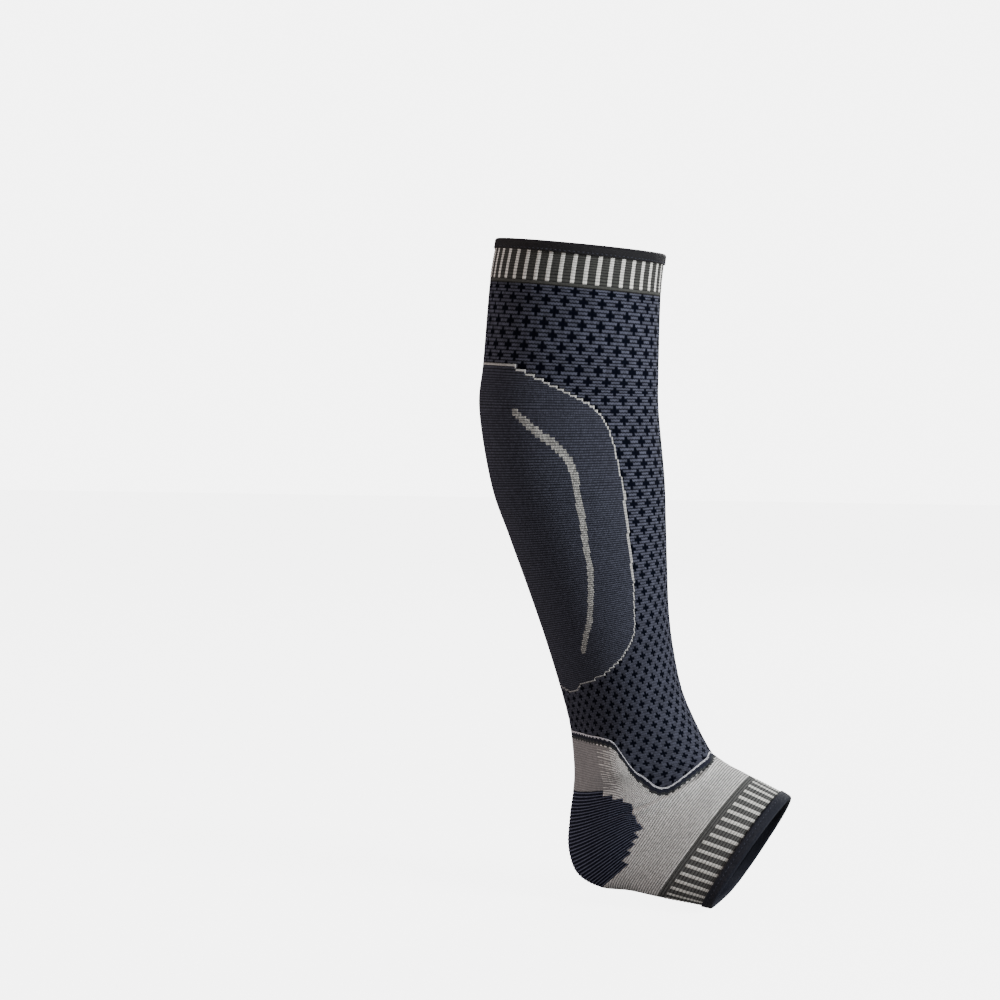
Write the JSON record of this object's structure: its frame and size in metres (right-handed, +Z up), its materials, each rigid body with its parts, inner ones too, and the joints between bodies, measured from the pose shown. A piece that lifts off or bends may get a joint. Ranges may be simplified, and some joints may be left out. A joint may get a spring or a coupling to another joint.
{
  "type": "calf compression sleeve",
  "caption": "Knitted calf and ankle compression sleeve for a right leg, open at the top and the toes, with a striped cuff, calf panel and heel pocket.",
  "frame": {"origin": "the middle of the ankle, in the hollow that the leg fills when the sleeve is worn", "axes": "+X towards the toes, +Y towards the inner side of the leg, +Z up the leg"},
  "size_m": [0.2199, 0.1238, 0.4603],
  "materials": {
    "binding": "folded black-navy elastic tape, matt",
    "striped_band": "dark grey rib with light grey stripes, matt",
    "leg_knit": "slate jersey with dark crosses, matt",
    "calf_panel": "fine ribbed dark navy knit with a light edge line, matt",
    "ankle_knit": "fine ribbed light grey knit, matt",
    "heel_pocket": "ribbed dark navy knit, matt"
  },
  "bodies": {
    "root": {"top_binding": "binding", "cuff_band": "striped_band", "leg_knit": "leg_knit", "calf_panel": "calf_panel", "ankle_knit": "ankle_knit", "heel_pocket": "heel_pocket", "foot_band": "striped_band", "foot_binding": "binding"}
  },
  "joints": []
}
